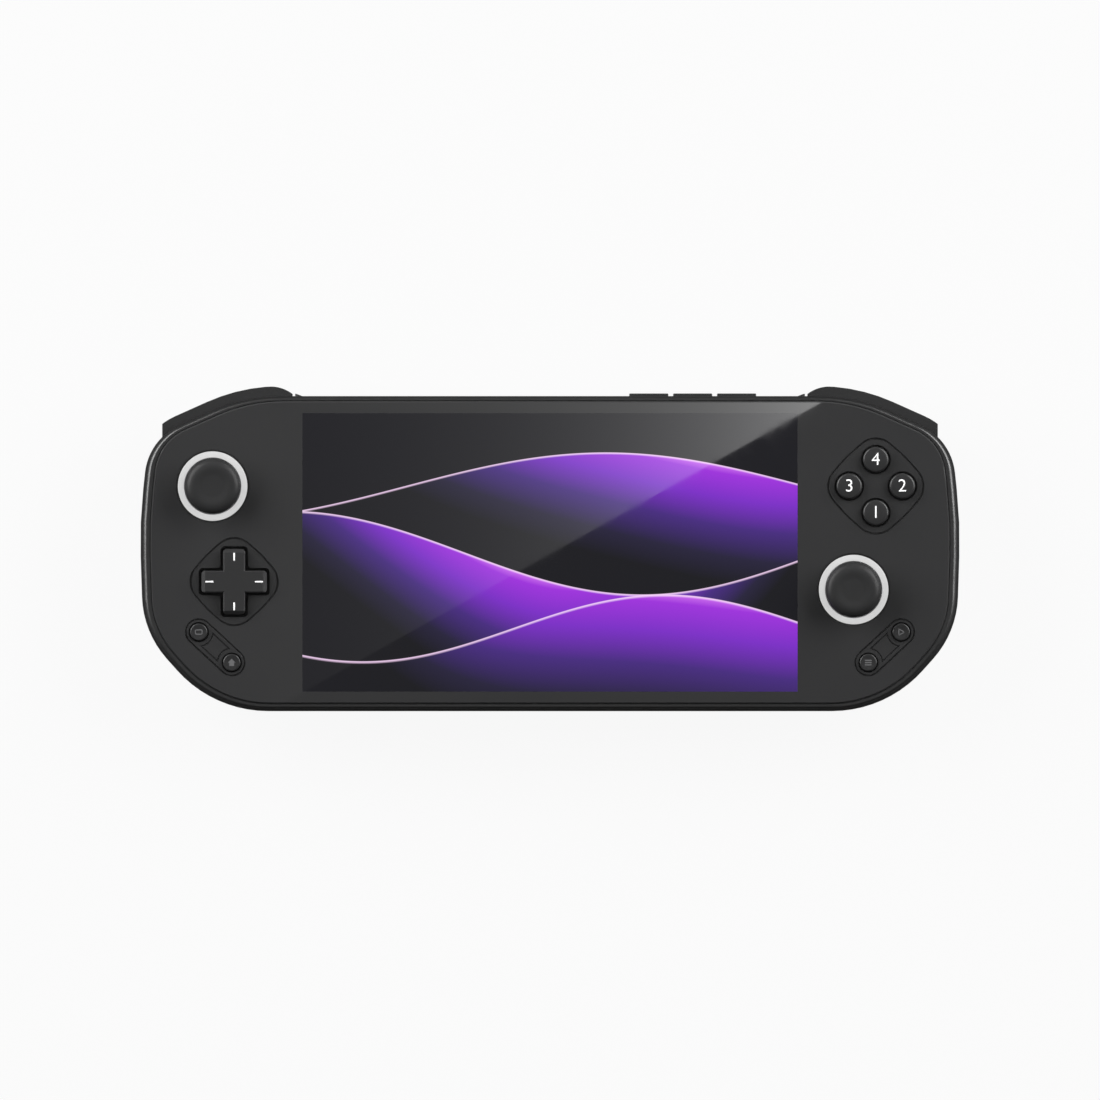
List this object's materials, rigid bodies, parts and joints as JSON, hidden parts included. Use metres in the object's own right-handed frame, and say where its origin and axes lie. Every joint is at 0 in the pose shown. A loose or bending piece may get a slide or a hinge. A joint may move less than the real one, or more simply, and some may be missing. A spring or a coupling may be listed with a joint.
{
  "type": "handheld game console",
  "caption": "Handheld game console on its back: landscape screen under a full-face glass, thumb sticks, cross pad, face buttons, bumpers, triggers and palm grips",
  "frame": {"origin": "under the middle of the console's box, on the surface that its two palm grips rest on", "axes": "+X to the right hand side of the screen, +Y to the top edge with the bumpers, +Z out of the screen"},
  "size_m": [0.2014, 0.0798, 0.0264],
  "materials": {
    "shell": "fine matt grain",
    "cover_glass": "satin, printed grey on its back round a clear window",
    "display": "lit picture",
    "panel": "satin",
    "diffuser": "milky, satin",
    "stick_plastic": "soft matt",
    "button_plastic": "satin",
    "shoulder_plastic": "satin",
    "board": "green solder mask",
    "frame_metal": "brushed",
    "battery": "black wrapped pouch",
    "socket_metal": "plated",
    "steel": "plain",
    "black_plastic": "moulded",
    "membrane": "matt silicone",
    "flex": "amber film"
  },
  "bodies": {
    "console": {"front_shell": "shell", "cover_glass": "cover_glass", "rear_shell": "shell", "display": "display", "display_frame": "frame_metal", "main_board": "board", "socket_board": "board", "battery": "battery", "heat_spreader": "frame_metal", "usb_socket": "socket_metal", "headphone_socket": "black_plastic", "card_socket": "socket_metal", "left_speaker": "black_plastic", "right_speaker": "black_plastic", "left_control_board": "board", "right_control_board": "board", "pad_surround": "panel", "face_surround": "panel", "left_pill_plate": "panel", "right_pill_plate": "panel", "left_light_ring": "diffuser", "right_light_ring": "diffuser", "left_stick_housing": "socket_metal", "right_stick_housing": "socket_metal", "pad_membrane": "membrane", "face_membrane": "membrane", "pad_cradle": "black_plastic", "trigger_pins": "steel", "trigger_springs": "steel", "case_screws": "steel", "board_screws": "steel", "left_flex": "flex", "right_flex": "flex"},
    "left_outer_yoke": {"left_outer_yoke": "black_plastic"},
    "left_inner_yoke": {"left_inner_yoke": "black_plastic"},
    "left_stick": {"left_shaft": "steel", "left_cap": "stick_plastic"},
    "right_outer_yoke": {"right_outer_yoke": "black_plastic"},
    "right_inner_yoke": {"right_inner_yoke": "black_plastic"},
    "right_stick": {"right_shaft": "steel", "right_cap": "stick_plastic"},
    "pad_spider": {"pad_spider": "steel"},
    "cross_pad": {"cross_pad": "stick_plastic"},
    "face_button_top": {"face_button_top": "button_plastic"},
    "face_button_left": {"face_button_left": "button_plastic"},
    "face_button_right": {"face_button_right": "button_plastic"},
    "face_button_bottom": {"face_button_bottom": "button_plastic"},
    "select_button": {"select_button": "button_plastic"},
    "home_button": {"home_button": "button_plastic"},
    "start_button": {"start_button": "button_plastic"},
    "menu_button": {"menu_button": "button_plastic"},
    "left_bumper": {"left_bumper": "shoulder_plastic"},
    "right_bumper": {"right_bumper": "shoulder_plastic"},
    "left_trigger": {"left_trigger": "shoulder_plastic"},
    "right_trigger": {"right_trigger": "shoulder_plastic"},
    "volume_down_button": {"volume_down_button": "button_plastic"},
    "volume_up_button": {"volume_up_button": "button_plastic"},
    "power_button": {"power_button": "button_plastic"}
  },
  "joints": [
    {"name": "left_stick_up_down", "type": "hinge", "parent": "console", "child": "left_outer_yoke", "pos_m": [-0.083, 0.01542, 0.012], "axis": [1, 0, 0], "range_deg": [-15, 15], "stiffness_Nm_per_rad": 0.05},
    {"name": "left_stick_left_right", "type": "hinge", "parent": "left_outer_yoke", "child": "left_inner_yoke", "pos_m": [-0.083, 0.01542, 0.012], "axis": [0, 1, 0], "range_deg": [-15, 15], "stiffness_Nm_per_rad": 0.05},
    {"name": "left_stick_click", "type": "slide", "parent": "left_inner_yoke", "child": "left_stick", "axis": [0, 0, -1], "range_m": [0, 0.0004], "stiffness_N_per_m": 1500},
    {"name": "right_stick_up_down", "type": "hinge", "parent": "console", "child": "right_outer_yoke", "pos_m": [0.0747, -0.01003, 0.012], "axis": [1, 0, 0], "range_deg": [-15, 15], "stiffness_Nm_per_rad": 0.05},
    {"name": "right_stick_left_right", "type": "hinge", "parent": "right_outer_yoke", "child": "right_inner_yoke", "pos_m": [0.0747, -0.01003, 0.012], "axis": [0, 1, 0], "range_deg": [-15, 15], "stiffness_Nm_per_rad": 0.05},
    {"name": "right_stick_click", "type": "slide", "parent": "right_inner_yoke", "child": "right_stick", "axis": [0, 0, -1], "range_m": [0, 0.0004], "stiffness_N_per_m": 1500},
    {"name": "pad_up_down", "type": "hinge", "parent": "console", "child": "pad_spider", "pos_m": [-0.0777, -0.00808, 0.0141], "axis": [1, 0, 0], "range_deg": [-5, 5], "stiffness_Nm_per_rad": 0.2, "deforming": ["pad_membrane"]},
    {"name": "pad_left_right", "type": "hinge", "parent": "pad_spider", "child": "cross_pad", "pos_m": [-0.0777, -0.00808, 0.0141], "axis": [0, 1, 0], "range_deg": [-5, 5], "stiffness_Nm_per_rad": 0.2, "deforming": ["pad_membrane"]},
    {"name": "face_top_press", "type": "slide", "parent": "console", "child": "face_button_top", "axis": [0, 0, -1], "range_m": [0, 0.0009], "stiffness_N_per_m": 900, "deforming": ["face_membrane"]},
    {"name": "face_left_press", "type": "slide", "parent": "console", "child": "face_button_left", "axis": [0, 0, -1], "range_m": [0, 0.0009], "stiffness_N_per_m": 900, "deforming": ["face_membrane"]},
    {"name": "face_right_press", "type": "slide", "parent": "console", "child": "face_button_right", "axis": [0, 0, -1], "range_m": [0, 0.0009], "stiffness_N_per_m": 900, "deforming": ["face_membrane"]},
    {"name": "face_bottom_press", "type": "slide", "parent": "console", "child": "face_button_bottom", "axis": [0, 0, -1], "range_m": [0, 0.0009], "stiffness_N_per_m": 900, "deforming": ["face_membrane"]},
    {"name": "select_press", "type": "slide", "parent": "console", "child": "select_button", "axis": [0, 0, -1], "range_m": [0, 0.0005], "stiffness_N_per_m": 1500},
    {"name": "home_press", "type": "slide", "parent": "console", "child": "home_button", "axis": [0, 0, -1], "range_m": [0, 0.0005], "stiffness_N_per_m": 1500},
    {"name": "start_press", "type": "slide", "parent": "console", "child": "start_button", "axis": [0, 0, -1], "range_m": [0, 0.0005], "stiffness_N_per_m": 1500},
    {"name": "menu_press", "type": "slide", "parent": "console", "child": "menu_button", "axis": [0, 0, -1], "range_m": [0, 0.0005], "stiffness_N_per_m": 1500},
    {"name": "left_bumper_swing", "type": "hinge", "parent": "console", "child": "left_bumper", "pos_m": [-0.0662, 0.03422, 0.0143], "axis": [0, 0, 1], "range_deg": [0, 3], "stiffness_Nm_per_rad": 0.6},
    {"name": "right_bumper_swing", "type": "hinge", "parent": "console", "child": "right_bumper", "pos_m": [0.0662, 0.03422, 0.0143], "axis": [0, 0, -1], "range_deg": [0, 3], "stiffness_Nm_per_rad": 0.6},
    {"name": "left_trigger_pull", "type": "hinge", "parent": "console", "child": "left_trigger", "pos_m": [-0.08534, 0.02864, 0.0093], "axis": [-0.9126, -0.4088, 0], "range_deg": [0, 14], "stiffness_Nm_per_rad": 0.05},
    {"name": "right_trigger_pull", "type": "hinge", "parent": "console", "child": "right_trigger", "pos_m": [0.08534, 0.02864, 0.0093], "axis": [-0.9126, 0.4088, 0], "range_deg": [0, 14], "stiffness_Nm_per_rad": 0.05},
    {"name": "volume_down_press", "type": "slide", "parent": "console", "child": "volume_down_button", "axis": [0, -1, 0], "range_m": [0, 0.0004], "stiffness_N_per_m": 1500},
    {"name": "volume_up_press", "type": "slide", "parent": "console", "child": "volume_up_button", "axis": [0, -1, 0], "range_m": [0, 0.0004], "stiffness_N_per_m": 1500},
    {"name": "power_press", "type": "slide", "parent": "console", "child": "power_button", "axis": [0, -1, 0], "range_m": [0, 0.0004], "stiffness_N_per_m": 1500}
  ]
}
